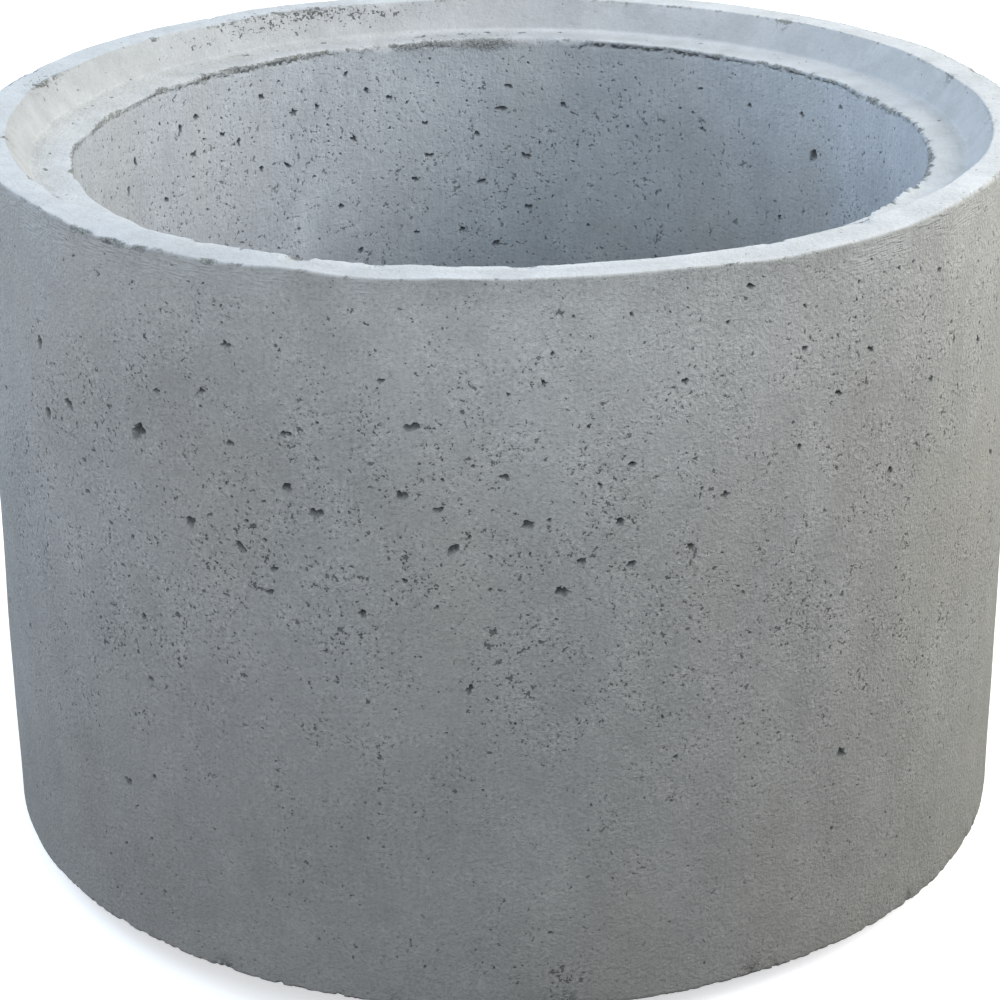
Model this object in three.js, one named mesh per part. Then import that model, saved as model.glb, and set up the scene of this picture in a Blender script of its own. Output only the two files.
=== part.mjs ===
// A precast concrete ring for culverts, wells and manhole shafts. Rings stack on one another: the top of
// the wall carries a rebate, a raised rim outside and a lower seat inside, and the foot carries the spigot
// that drops into the rebate of the ring below. The ring is one casting, turned from one closed section.
// Units are millimetres, +Z is up, and the origin is on the axis at the level of the spigot's foot.
import * as THREE from "three";

// Driving dimensions.
const boreDiameter = 700;
const wallThickness = 80;
const layingHeight = 590; // rim to shoulder, the height that each ring adds to a shaft
const rimWidth = 28; // level top of the rim, from the outer face to the mouth of the rebate
const seatDepth = 25; // rim down to the ledge
const seatLean = THREE.MathUtils.degToRad(36.5); // lean of the rebate's side from the vertical
const jointGap = 3; // mortar gap left all round between a spigot and the rebate that takes it

// Corner radii of the section.
const outerArris = 2;
const rebateMouth = 2;
const rebateRoot = 4;
const boreMouth = 6;
const boreFoot = 5;
const spigotToe = 4;
const spigotRoot = 5;
const shoulderArris = 3;

// Fineness of the turned faces.
const facetsRound = 96;
const stepsPerCorner = 4;

// Weathered cast concrete.
const concreteFinish = { color: 0xa3a7a8, roughness: 0.9, metalness: 0 };

// Radii and levels that follow from the driving dimensions.
const boreRadius = boreDiameter / 2;
const outerRadius = boreRadius + wallThickness;
const spigotLength = seatDepth - jointGap;
const rimLevel = spigotLength + layingHeight;
const ledgeLevel = rimLevel - seatDepth;
const rebateMouthRadius = outerRadius - rimWidth;
const rebateRootRadius = rebateMouthRadius - seatDepth * Math.tan(seatLean);
// The spigot's side lies parallel to the rebate's side, one joint gap inside it.
const spigotRootRadius = rebateMouthRadius - jointGap / Math.cos(seatLean);
const spigotToeRadius = spigotRootRadius - spigotLength * Math.tan(seatLean);

// The section's corners, from the bore's foot anticlockwise: radius, level and corner radius.
const sectionCorners = [
  { at: new THREE.Vector2(boreRadius, 0), round: boreFoot },
  { at: new THREE.Vector2(spigotToeRadius, 0), round: spigotToe },
  { at: new THREE.Vector2(spigotRootRadius, spigotLength), round: spigotRoot },
  { at: new THREE.Vector2(outerRadius, spigotLength), round: shoulderArris },
  { at: new THREE.Vector2(outerRadius, rimLevel), round: outerArris },
  { at: new THREE.Vector2(rebateMouthRadius, rimLevel), round: rebateMouth },
  { at: new THREE.Vector2(rebateRootRadius, ledgeLevel), round: rebateRoot },
  { at: new THREE.Vector2(boreRadius, ledgeLevel), round: boreMouth },
];

// The arc that rounds the corner between two straight sides and is tangent to both of them.
function cornerArc(before, corner, after) {
  const back = before.clone().sub(corner.at).normalize();
  const ahead = after.clone().sub(corner.at).normalize();
  const halfAngle = Math.acos(back.dot(ahead)) / 2;
  const bisector = back.clone().add(ahead).normalize();
  const centre = corner.at.clone().addScaledVector(bisector, corner.round / Math.sin(halfAngle));
  const tangentLength = corner.round / Math.tan(halfAngle);
  const start = corner.at.clone().addScaledVector(back, tangentLength).sub(centre);
  const end = corner.at.clone().addScaledVector(ahead, tangentLength).sub(centre);
  const clockwise = start.cross(end) < 0;
  return new THREE.EllipseCurve(
    centre.x, centre.y, corner.round, corner.round, start.angle(), end.angle(), clockwise,
  );
}

// A closed outline through the corners, each one rounded by its own arc.
function roundedOutline(corners) {
  const count = corners.length;
  const outline = corners.flatMap((corner, i) => {
    const before = corners[(i + count - 1) % count].at;
    const after = corners[(i + 1) % count].at;
    return cornerArc(before, corner, after).getPoints(stepsPerCorner);
  });
  return [...outline, outline[0].clone()];
}

// The casting: the section turned about the ring's own axis, then stood up with that axis along Z.
function concreteRing() {
  const turned = new THREE.LatheGeometry(roundedOutline(sectionCorners), facetsRound);
  const ring = new THREE.Mesh(turned, new THREE.MeshStandardMaterial(concreteFinish));
  ring.name = "concrete_ring";
  ring.rotation.x = Math.PI / 2;
  return ring;
}

const culvertRing = new THREE.Group();
culvertRing.add(concreteRing());

export default culvertRing;
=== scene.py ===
"""A precast concrete culvert ring: its cast surface, worn edges and air-bubble pits, and the light on it.

The ring is one casting, so it is one mesh. Its surface is a function of two parameters: the way along the
section's closed outline, and the bearing round the axis. Lengths in the classes are millimetres, and a
bearing is an angle round the ring, 0 at the front (-Y) and growing towards the right (+X). Meshes are made
in metres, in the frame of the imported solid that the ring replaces.
"""
from __future__ import annotations

import logging
import math
from dataclasses import dataclass, field, replace
from enum import Enum

import bpy
import numpy as np
from mathutils import Matrix, Vector

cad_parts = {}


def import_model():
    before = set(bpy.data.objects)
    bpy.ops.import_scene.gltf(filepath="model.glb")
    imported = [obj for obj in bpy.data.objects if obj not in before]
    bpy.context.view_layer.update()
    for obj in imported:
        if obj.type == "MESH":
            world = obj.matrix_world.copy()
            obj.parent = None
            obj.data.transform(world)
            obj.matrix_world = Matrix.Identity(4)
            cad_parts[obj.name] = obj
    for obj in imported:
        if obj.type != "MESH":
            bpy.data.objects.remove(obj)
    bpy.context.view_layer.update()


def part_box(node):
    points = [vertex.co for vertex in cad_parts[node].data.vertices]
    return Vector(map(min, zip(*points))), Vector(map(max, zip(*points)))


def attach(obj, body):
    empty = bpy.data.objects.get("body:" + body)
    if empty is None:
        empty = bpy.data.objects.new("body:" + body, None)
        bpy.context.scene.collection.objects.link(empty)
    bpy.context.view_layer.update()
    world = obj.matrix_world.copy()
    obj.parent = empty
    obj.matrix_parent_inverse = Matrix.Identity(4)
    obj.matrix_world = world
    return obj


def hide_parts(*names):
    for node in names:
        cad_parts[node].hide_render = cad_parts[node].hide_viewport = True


log = logging.getLogger("culvert_ring")

MM = 0.001
TURN = 2.0 * math.pi
SOLID_NODE = "concrete_ring"

Array = np.ndarray
Socket = bpy.types.NodeSocket


class Columns(Enum):
    """How many columns a row of the surface has round the ring. Each count divides the next one."""

    COARSE = 192
    MEDIUM = 768
    FINE = 1536


class Face(Enum):
    """The faces of the casting that air bubbles leave pits in."""

    OUTER = "outer wall"
    BORE = "bore"
    LEDGE = "ledge"


@dataclass(frozen=True)
class Span:
    """A value that runs straight from `low` to `high` while another runs from `start` to `end`."""

    low: float = 0.0
    high: float = 1.0
    start: float = 0.0
    end: float = 1.0

    def at(self, value: Array) -> Array:
        """The value at each value of the other one, low + (high - low) * its share of the way."""
        share = np.clip((value - self.start) / (self.end - self.start), 0.0, 1.0)
        return self.low + (self.high - self.low) * share

    def of(self, value: Socket) -> dict[str, float | Socket]:
        """What a Map Range node that reads the other value is fed."""
        return {"Value": value, "From Min": self.start, "From Max": self.end,
                "To Min": self.low, "To Max": self.high}

    def moved(self, by: float) -> Span:
        """The same span with its start and end moved."""
        return replace(self, start=self.start + by, end=self.end + by)


def degrees_off(bearing: Array, middle: Array | float) -> Array:
    """How far bearings in radians lie from a middle one in degrees, from -180 to 180."""
    return (np.degrees(bearing) - middle + 180.0) % 360.0 - 180.0


# ---- Waves that roughen the cast surface ----


@dataclass(frozen=True)
class Wave:
    """A wave round the ring that closes on itself.

    It is the sum over whole numbers k of k**-fall * sin(k * bearing + phase), with seeded phases, scaled so
    that its root mean square is `size` in millimetres.
    """

    lowest: int
    highest: int
    size: float
    seed: int
    fall: float = 0.5

    def at(self, bearing: Array) -> Array:
        """Heights of the wave in millimetres.

        Args:
            bearing: Bearings in radians, one per column.

        Returns:
            One height per bearing.
        """
        rng = np.random.default_rng(self.seed)
        count = np.arange(self.lowest, self.highest + 1)
        phase = rng.uniform(0.0, TURN, count.size)
        strength = count.astype(float) ** -self.fall
        strength *= self.size / math.sqrt(0.5 * np.sum(strength**2))
        return strength @ np.sin(np.multiply.outer(count, bearing) + phase[:, None])


@dataclass(frozen=True)
class Swell:
    """Slow unevenness of the casting: a sum of sine waves that run at all angles over its faces.

    Each wave is sin(k * bearing + 2 pi * along / length + phase) / sqrt(k), where k is a whole number of
    waves round the ring and `along` is a distance up a wall or along the section. The sum is scaled so that
    its root mean square is `size`.
    """

    size: float
    seed: int
    waves: int = 28
    most_round: int = 34
    shortest: float = 90.0
    longest: float = 8.0  # as a multiple of the shortest

    def at(self, bearing: Array, along: Array) -> Array:
        """Heights of the swell about zero.

        Args:
            bearing: Bearings in radians.
            along: Distances in millimetres, of a shape that goes with bearing.

        Returns:
            One value for each pair.
        """
        rng = np.random.default_rng(self.seed)
        total = np.zeros(np.broadcast(bearing, along).shape)
        for _ in range(self.waves):
            k = int(rng.integers(1, self.most_round))
            length = rng.uniform(self.shortest, self.longest * self.shortest) * rng.choice([-1.0, 1.0])
            phase = rng.uniform(0.0, TURN)
            total += np.sin(k * bearing + TURN * along / length + phase) / math.sqrt(k)
        return total * self.size / total.std()


@dataclass(frozen=True)
class Stretch:
    """A stretch of an edge and how strongly something happens there.

    It is `amount` millimetres strong at the edge, and runs out `half_width` degrees to each side of
    `bearing` and `reach` millimetres to each side of the edge.
    """

    bearing: float
    half_width: float
    reach: float
    amount: float


@dataclass(frozen=True)
class Nibbles:
    """Small dents all round an edge, of seeded places and sizes: many in some stretches, few in others."""

    count: int
    half_width: float  # degrees
    reach: float
    bite: float
    seed: int
    per_stretch: int = 8
    scatter: float = 8.0  # degrees from the middle of a stretch
    variety: float = 0.45  # spread of the sizes' logarithms

    def table(self) -> Array:
        """Rows of bearing, half width, reach and bite, one row per dent."""
        rng = np.random.default_rng(self.seed)
        stretch = rng.uniform(-180.0, 180.0, max(self.count // self.per_stretch, 1))
        bearing = rng.choice(stretch, self.count) + rng.normal(0.0, self.scatter, self.count)
        size = np.exp(rng.normal(0.0, self.variety, (self.count, 3)))
        return np.column_stack([bearing, size * (self.half_width, self.reach, self.bite)])


@dataclass(frozen=True)
class SoftPatch:
    """A soft patch: lime bloom that makes the skin paler, dirt that makes it duller, painted light and shade
    that make it lighter or darker, or open skin.
    """

    bearing: float  # degrees
    half_width: float  # degrees
    radius: float
    level: float
    reach: float
    amount: float

    def at(self, bearing: Array, radius: Array, level: Array) -> Array:
        """Its strength, amount * exp(-(angle off / half width)**2 - (distance in the section / reach)**2)."""
        away = degrees_off(bearing, self.bearing)
        distance = np.hypot(radius - self.radius, level - self.level)
        return self.amount * np.exp(-((away / self.half_width) ** 2) - (distance / self.reach) ** 2)


@dataclass(frozen=True)
class EdgeWear:
    """How one corner of the section varies round the ring."""

    shift: Wave | None = None  # moves the corner in and out
    drawn_in: tuple[Stretch, ...] = ()  # where it lies nearer to the axis, or further off if negative
    sagging: tuple[Stretch, ...] = ()  # where it lies lower
    rounding: Wave | None = None
    softened: tuple[Stretch, ...] = ()  # where the edge is rounder, by the amount
    nibbles: Nibbles | None = None
    dents: tuple[Stretch, ...] = ()  # where a piece is lost, to the amount's depth
    crumbling: tuple[Stretch, ...] = ()  # where grains are lost here and there, up to the amount's depth
    lip: Wave | None = None  # how far the corner stands out over the wall under it
    undercuts: tuple[Stretch, ...] = ()  # where the side just past the corner is hollowed out
    burrs: tuple[Stretch, ...] = ()  # where squeezed-out paste stands proud of the corner
    past: float = 0.0  # how far past the corner most grains are lost
    lip_reach: float = 2.5
    undercut_at: float = 1.4  # distance past the corner's arc
    undercut_reach: float = 2.4

    def lost(self, bearing: Array, offset: Array) -> Array:
        """Material lost near the edge in millimetres, from the dents and the nibbles.

        Args:
            bearing: Bearings in radians, one per column.
            offset: Distance from the edge in millimetres, rows by columns.

        Returns:
            Depths, rows by columns.
        """
        rows = [table_of(self.dents)]
        if self.nibbles is not None:
            rows.append(self.nibbles.table())
        return strongest(np.concatenate(rows), bearing, offset)

    def crumbled(self, bearing: Array, offset: Array) -> Array:
        """How deep single grains may be lost, in millimetres, rows by columns."""
        return strongest(table_of(self.crumbling), bearing, offset)

    def overhang(self, bearing: Array, offset: Array) -> Array:
        """How far the lip stands out over the wall under it, in millimetres, rows by columns."""
        if self.lip is None:
            return np.zeros_like(offset)
        return np.clip(self.lip.at(bearing), 0.0, None) * np.clip(1.0 - offset / self.lip_reach, 0.0, None)

    def hollowed(self, bearing: Array, past: Array) -> Array:
        """How deep the side is hollowed out past the corner, in millimetres.

        It is the undercut's depth * (1 - |past - undercut_at| / undercut_reach), and never below zero.

        Args:
            bearing: Bearings in radians, one per column.
            past: Distances from the end of the corner's arc, one per row.

        Returns:
            Depths, rows by columns.
        """
        share = 1.0 - np.abs(past[:, None] - self.undercut_at) / self.undercut_reach
        return np.clip(share, 0.0, None) * spread(self.undercuts, bearing)

    def proud(self, bearing: Array, offset: Array) -> Array:
        """How far the burrs stand out along the corner's diagonal, in millimetres, rows by columns."""
        return strongest(table_of(self.burrs), bearing, offset)


def table_of(stretches: tuple[Stretch, ...]) -> Array:
    """Rows of bearing, half width, reach and amount, one row per stretch."""
    return np.reshape([(s.bearing, s.half_width, s.reach, s.amount) for s in stretches], (-1, 4))


def spread(stretches: tuple[Stretch, ...], bearing: Array) -> Array:
    """The strongest of the stretches at each bearing, at the edge itself."""
    return strongest(table_of(stretches), bearing, np.zeros((1, bearing.size)))[0]


def strongest(table: Array, bearing: Array, offset: Array) -> Array:
    """The strongest of many stretches at each point of a strip along an edge, and zero where there are none.

    A stretch is amount * (1 - |angle off / half width|**3) * (1 - (offset / reach)**2), and zero where
    either bracket is below zero.

    Args:
        table: Rows of bearing and half width in degrees, reach and amount in millimetres.
        bearing: Bearings in radians, one per column.
        offset: Distance from the edge, rows by columns.

    Returns:
        Amounts in millimetres, rows by columns.
    """
    if not len(table):
        return np.zeros_like(offset)
    middle, half_width, reach, amount = (column[:, None, None] for column in table.T)
    along = np.clip(1.0 - np.abs(degrees_off(bearing, middle) / half_width) ** 3, 0.0, None)
    across = np.clip(1.0 - (offset[None] / reach) ** 2, 0.0, None)
    return (amount * along * across).max(axis=0)


# ---- The section and the surface turned from it ----


@dataclass(frozen=True)
class Rough:
    """How a noise of mean 0 makes an amount uneven: base + gain * noise, kept between least and most."""

    base: float
    gain: float
    least: float = -math.inf
    most: float = math.inf

    def of(self, noise: Array) -> Array:
        """The factor at each point of the noise."""
        return np.clip(self.base + self.gain * noise, self.least, self.most)


@dataclass(frozen=True)
class Corner:
    """A corner of the section, rounded by an arc, with rows of the surface close to it on both sides."""

    radius: float
    level: float
    rounding: float
    steps: int = 2  # faces of the arc
    columns: Columns = Columns.COARSE
    before: tuple[float, ...] = ()  # distances back from the arc, nearest first
    after: tuple[float, ...] = ()  # distances on from the arc, nearest first
    wear: EdgeWear = field(default_factory=EdgeWear)


@dataclass(frozen=True)
class Side:
    """The straight side from one corner to the next: how many rows it has, and how it was made."""

    rows: int
    columns: Columns = Columns.COARSE
    trowelled: float = 0.0  # 1 where the side was formed smooth and rich in cement, as the seat on top is
    face: Face | None = None
    pale: float = 1.0  # brightness as a share of the finish's own


@dataclass
class SectionRow:
    """One row of the surface: its place (radius and level) at every bearing, and how it was made and worn."""

    place: Array
    trowelled: float
    columns: Columns
    face: Face | None = None
    pale: float = 1.0
    worn: Array | None = None
    # painted shade under an undercut lip, which the pit tone carries
    hollow: Array | None = None


@dataclass
class Surface:
    """The ring's surface as rows that run round it. Grids are rows by the finest count of columns.

    `tones` holds what the finish reads off the surface, by name: how worn and how trowelled it is, how much
    light a hollow keeps off it, and slow patterns about zero that are too wide to need finer points.
    """

    bearing: Array
    radius: Array
    level: Array
    tones: dict[str, Array]
    columns: list[Columns]
    faces: dict[Face, tuple[int, int]]  # first and last coarse row of each pitted face


@dataclass
class RingSection:
    """The closed section of the ring, from the bore's foot anticlockwise, and the rows turned from it."""

    outer_radius: float
    height: float
    wall: float = 80.0
    rim_width: float = 28.0
    seat_depth: float = 25.0
    seat_lean: float = math.radians(36.5)
    joint_gap: float = 3.0
    wall_rows: int = 41
    near: float = 5.0  # rows further than this from an arc are as coarse as the side that they lie on
    inner_swell: Swell = Swell(size=0.3, seed=11)
    outer_swell: Swell = Swell(size=0.3, seed=12)
    rim_swell: Wave = Wave(lowest=2, highest=26, size=0.3, seed=13)
    cloud: Swell = Swell(size=1.0, seed=61, waves=60, most_round=60, shortest=55.0)
    warmth: Swell = Swell(size=1.0, seed=62, waves=40, most_round=30, shortest=110.0)
    swarm: Swell = Swell(size=1.0, seed=63, waves=70, most_round=55, shortest=48.0)
    bore_edge: float = 8.0  # width of the ledge's inner edge that swells with the bore
    rim_fade: float = 3.0  # seat depths under the rim where its swell starts
    crumb_seed: int = 14
    smoothing: tuple[float, float] = (0.6, 0.3)  # a point's own share of the noise, and each neighbour's
    denting: Rough = Rough(0.4, 1.0)
    crumbling: Rough = Rough(-0.15, 1.3, 0.0, 2.0)
    lumps: Rough = Rough(0.85, 0.12)
    undercut: Rough = Rough(0.5, 1.1, 0.0, 1.7)
    broken: Rough = Rough(0.8, 0.45)
    undercut_shade: float = 0.5
    # Brightness patches: some are lime or dirt, and some are painted light and shade. Painted shade darkens
    # the front of the rim, the back of the seat and the low back of the bore; painted light brightens the
    # seat's sides, with a painted highlight along the rebate's root on the left.
    lime_dirt_and_painted_light: tuple[SoftPatch, ...] = (  # where lime or dirt changes the brightness
        SoftPatch(3, 24, 430, 580, 75, 0.27), SoftPatch(60, 30, 430, 160, 160, 0.12),
        SoftPatch(62, 16, 430, 550, 80, 0.15), SoftPatch(-26, 14, 430, 500, 100, -0.05),
        SoftPatch(0, 42, 418, 612, 14, -0.23), SoftPatch(180, 75, 380, 595, 30, -0.05),
        SoftPatch(180, 50, 362, 587, 12, -0.26), SoftPatch(-145, 30, 418, 612, 12, -0.08),
        SoftPatch(42, 30, 430, 300, 150, -0.03), SoftPatch(-88, 26, 366, 587, 14, 0.07),
        SoftPatch(150, 80, 350, 480, 200, 0.06), SoftPatch(180, 34, 350, 330, 80, -0.09),
        SoftPatch(-98, 22, 350, 500, 160, -0.04), SoftPatch(98, 16, 350, 500, 160, -0.05),
        SoftPatch(-148.5, 2, 350, 404, 42, 0.28), SoftPatch(-104, 15, 384, 588, 6, 0.1),
        SoftPatch(-88, 30, 394, 600, 9, 0.08), SoftPatch(88, 24, 394, 600, 9, 0.05),
    )
    pore_blooms: tuple[SoftPatch, ...] = (  # where the skin is fuller of pores, or more closed
        SoftPatch(-14, 26, 430, 450, 90, 0.9), SoftPatch(-62, 18, 430, 560, 90, -1.6),
        SoftPatch(0, 60, 430, 250, 90, -1.2), SoftPatch(0, 26, 430, 565, 50, -1.4),
        SoftPatch(55, 24, 430, 420, 170, -1), SoftPatch(128, 34, 350, 430, 200, -2),
        SoftPatch(-150, 40, 350, 480, 120, 0.3),
    )
    scars: tuple[SoftPatch, ...] = (  # where the skin is torn off beside an edge
        SoftPatch(-178, 3.6, 350, 579, 7, 1.05), SoftPatch(-170, 5, 350, 583, 5, 0.7),
    )
    open_spots: tuple[SoftPatch, ...] = (  # where the skin is rubbed open, so that sand shows
        SoftPatch(-151, 12, 402, 608, 14, 1.6), SoftPatch(-136, 14, 393, 598, 10, 0.75),
        SoftPatch(-105, 6, 405, 610, 12, 1.5),
        SoftPatch(84, 8, 402, 610, 7, 0.8), SoftPatch(-163, 8, 396, 602, 12, 1),
        SoftPatch(-174, 12, 366, 587, 9, 1.3),
        SoftPatch(27, 2, 430, 46, 10, 1.2), SoftPatch(6.2, 2.6, 430, 49, 14, 1.6),
        SoftPatch(-172, 14, 352, 582, 9, 0.8), SoftPatch(-48, 18, 430, 600, 7, 0.6),
    )

    def corners(self) -> list[Corner]:
        """The eight corners with their real roundings and wear, from the same sizes as the solid."""
        bore = self.outer_radius - self.wall
        mouth = self.outer_radius - self.rim_width
        root = mouth - self.seat_depth * math.tan(self.seat_lean)
        spigot = self.seat_depth - self.joint_gap
        spigot_root = mouth - self.joint_gap / math.cos(self.seat_lean)
        toe = spigot_root - spigot * math.tan(self.seat_lean)
        ledge = self.height - self.seat_depth
        fine = Columns.FINE
        return [
            Corner(bore, 0.0, 5.0),
            Corner(toe, 0.0, 4.0),
            Corner(spigot_root, spigot, 5.0),
            Corner(self.outer_radius, spigot, 2.5, columns=fine, after=(1.8,), wear=FOOT_WEAR),
            Corner(self.outer_radius, self.height, 1.3, columns=fine, before=(1.6, 3.8, 8.5),
                   after=(1.6, 3.8), wear=RIM_WEAR),
            Corner(mouth, self.height, 1.5, columns=fine, before=(1.8,), after=(1.8,),
                   wear=MOUTH_WEAR),
            Corner(root, ledge, 5.0, steps=3, after=(3.0,)),
            Corner(bore, ledge, 1.7, steps=3, columns=fine, before=(1.6, 4.0), after=(1.2, 2.6, 4.6, 9.0),
                   wear=BORE_WEAR),
        ]

    def sides(self) -> list[Side]:
        """The side that follows each corner."""
        return [
            Side(rows=1), Side(rows=1), Side(rows=1),
            Side(rows=self.wall_rows, face=Face.OUTER),
            Side(rows=1, columns=Columns.MEDIUM, trowelled=1.0),
            Side(rows=1, columns=Columns.MEDIUM, trowelled=1.0, pale=0.78),
            Side(rows=2, trowelled=1.0, face=Face.LEDGE),
            Side(rows=self.wall_rows, face=Face.BORE),
        ]

    def surface(self) -> Surface:
        """Turns the section about the axis.

        A corner's arc is the spherical blend of its two tangent points about the arc's centre,
        centre + (sin((1 - t) w) * start + sin(t w) * end) / sin(w), where w is the angle that it turns, and
        a side's rows lie on the straight line between two arcs. Both are worked out at every bearing at
        once, because the corners move and their arcs widen with the wear round the ring.

        Returns:
            The rows in order round the outline.
        """
        bearing = np.arange(Columns.FINE.value) * TURN / Columns.FINE.value
        corners, sides = self.corners(), self.sides()
        places, roundings = zip(*(self._worn_corner(corner, bearing) for corner in corners))
        strips = [self._strip(corners, places, roundings, sides, k) for k in range(len(corners))]
        rows: list[SectionRow] = []
        for k, (side, strip) in enumerate(zip(sides, strips)):
            rows += self._wear_down(corners[k], strip, bearing)
            start, end = rows[-1].place, strips[(k + 1) % len(strips)][0].place
            for n in range(1, side.rows + 1):
                t = n / (side.rows + 1)
                rows.append(SectionRow(start * (1.0 - t) + end * t, side.trowelled, side.columns, side.face,
                                       side.pale))
        return self._swollen(rows, bearing)

    @staticmethod
    def _worn_corner(corner: Corner, bearing: Array) -> tuple[Array, Array]:
        """Place (radius and level) and rounding of one corner at every bearing."""
        wear = corner.wear
        radius = corner.radius + (wear.shift.at(bearing) if wear.shift is not None else 0.0 * bearing)
        radius = radius - spread(wear.drawn_in, bearing)
        level = corner.level - spread(wear.sagging, bearing)
        rounding = corner.rounding + spread(wear.softened, bearing)
        if wear.rounding is not None:
            rounding = rounding + np.abs(wear.rounding.at(bearing))
        return np.stack([radius, level]), rounding

    def _strip(self, corners: list[Corner], places: tuple[Array, ...], roundings: tuple[Array, ...],
               sides: list[Side], k: int) -> list[SectionRow]:
        """The rows of one corner's arc, with the rows close to it on both sides."""
        corner, here = corners[k], places[k]
        back, ahead = _unit(places[k - 1] - here), _unit(places[(k + 1) % len(corners)] - here)
        half = np.arccos(np.sum(back * ahead, axis=0)) / 2.0
        reach = roundings[k] / np.tan(half)
        centre = here + _unit(back + ahead) * roundings[k] / np.sin(half)
        start, end = here + back * reach - centre, here + ahead * reach - centre
        turned = math.pi - 2.0 * half
        side_before, side_after = sides[k - 1], sides[k]
        strip = [self._near_row(centre + start + back * offset, offset, corner, side_before)
                 for offset in reversed(corner.before)]
        for step in range(corner.steps + 1):
            t = step / corner.steps
            arc = (np.sin((1.0 - t) * turned) * start + np.sin(t * turned) * end) / np.sin(turned)
            smooth = side_before.trowelled * (1.0 - t) + side_after.trowelled * t
            pale = side_before.pale * (1.0 - t) + side_after.pale * t
            strip.append(SectionRow(centre + arc, smooth, corner.columns, pale=pale))
        return strip + [self._near_row(centre + end + ahead * offset, offset, corner, side_after)
                        for offset in corner.after]

    def _near_row(self, place: Array, offset: float, corner: Corner, side: Side) -> SectionRow:
        """A row on a straight side close to a corner's arc."""
        return SectionRow(place, side.trowelled, side.columns if offset > self.near else corner.columns,
                          side.face, side.pale)

    def _wear_down(self, corner: Corner, strip: list[SectionRow], bearing: Array) -> list[SectionRow]:
        """Takes the dents and the crumbs out of a corner's strip, and lets its lip and burrs stand out.

        Dents and crumbs go in along the corner's diagonal, and burrs stand out of it. Each amount is
        multiplied by what its own Rough makes of a seeded noise, so that a broken place is uneven. The lip
        stands out along the radius, over the wall, and an undercut goes in the same way.
        """
        wear = corner.wear
        place = np.stack([row.place for row in strip])
        crest = len(corner.before) + corner.steps // 2
        middle = place[crest]
        offset = np.hypot(*(place - middle).transpose(1, 0, 2))
        order = np.sign(np.arange(len(strip)) - crest)
        inward = _unit(place[0] + place[-1] - 2.0 * middle)
        seed = self.crumb_seed + int(corner.radius) + int(corner.level)
        noise = np.random.default_rng(seed).normal(0.0, 1.0, offset.shape)
        own, beside = self.smoothing
        noise = own * noise + beside * (np.roll(noise, 1, axis=1) + np.roll(noise, -1, axis=1))
        lost = wear.lost(bearing, offset)
        crumbled = wear.crumbled(bearing, np.abs(order[:, None] * offset - wear.past))
        depth = lost * self.denting.of(np.abs(noise)) + crumbled * self.crumbling.of(noise)
        depth -= wear.proud(bearing, offset) * self.lumps.of(noise)
        place = place + inward[None] * depth[:, None]
        past = np.concatenate([np.full(len(strip) - len(corner.after), -math.inf), corner.after])
        hollow = wear.hollowed(bearing, past) * self.undercut.of(noise)
        place[:, 0] -= wear.overhang(bearing, offset)
        place[:, 0] += hollow
        worn = lost + crumbled * self.broken.of(noise)
        # Painted shade in the hollow under the lip, carried as the pit tone.
        shade = self.undercut_shade * np.clip(hollow, 0.0, 1.0)
        return [replace(row, place=p, worn=w, hollow=h) for row, p, w, h in zip(strip, place, worn, shade)]

    def _swollen(self, rows: list[SectionRow], bearing: Array) -> Surface:
        """Lays the slow swells over the whole surface, and works out its tones."""
        place = np.stack([row.place for row in rows])
        radius, level = place[:, 0], place[:, 1]
        mouth, bore = self.outer_radius - self.rim_width, self.outer_radius - self.wall
        outward = np.clip((radius - bore - self.bore_edge) / (mouth - bore - self.bore_edge), 0.0, 1.0)
        inner, outer = self.inner_swell.at(bearing, level), self.outer_swell.at(bearing, level)
        swell = (1.0 - outward) * (inner.max() - inner) + outward * (outer - outer.max())
        rim_swell = self.rim_swell.at(bearing)
        upper = np.clip((level - self.height) / self.seat_depth + self.rim_fade, 0.0, 1.0)
        middle = place.mean(axis=2)
        along = np.cumsum(np.hypot(*np.diff(middle, axis=0, prepend=middle[:1]).T))[:, None]
        flat = np.zeros_like(bearing)
        tones = {
            "worn": np.stack([flat if row.worn is None else row.worn for row in rows])
            + sum(scar.at(bearing, radius, level) for scar in self.scars),
            "pit": np.stack([flat if row.hollow is None else row.hollow for row in rows]),
            "trowelled": np.stack([flat + row.trowelled for row in rows]),
            "pale": self._paleness(rows, bearing, radius, level),
            "open": sum(spot.at(bearing, radius, level) for spot in self.open_spots),
            "cloud": self.cloud.at(bearing, along), "warmth": self.warmth.at(bearing, along),
            "swarm": self.swarm.at(bearing, along)
            + sum(bloom.at(bearing, radius, level) for bloom in self.pore_blooms),
        }
        runs = {face: [i for i, row in enumerate(rows) if row.face is face and row.columns is Columns.COARSE]
                for face in Face}
        return Surface(
            bearing=bearing, radius=radius + swell, level=level + upper * (rim_swell - rim_swell.max()),
            tones=tones, columns=[row.columns for row in rows],
            faces={face: (run[0], run[-1]) for face, run in runs.items()},
        )

    def _paleness(self, rows: list[SectionRow], bearing: Array, radius: Array, level: Array) -> Array:
        """Brightness of every point as a share of the finish's own: lime and dirt, and painted light and
        shade.
        """
        pale = np.array([row.pale for row in rows])[:, None] + 0.0 * bearing
        for bloom in self.lime_dirt_and_painted_light:
            pale = pale * (1.0 + bloom.at(bearing, radius, level))
        return pale


def _unit(vector: Array) -> Array:
    """The vectors, two by columns, at length one."""
    return vector / np.linalg.norm(vector, axis=0)


ALL_ROUND = 400  # half width in degrees of a stretch that hardly fades round the ring

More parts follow.
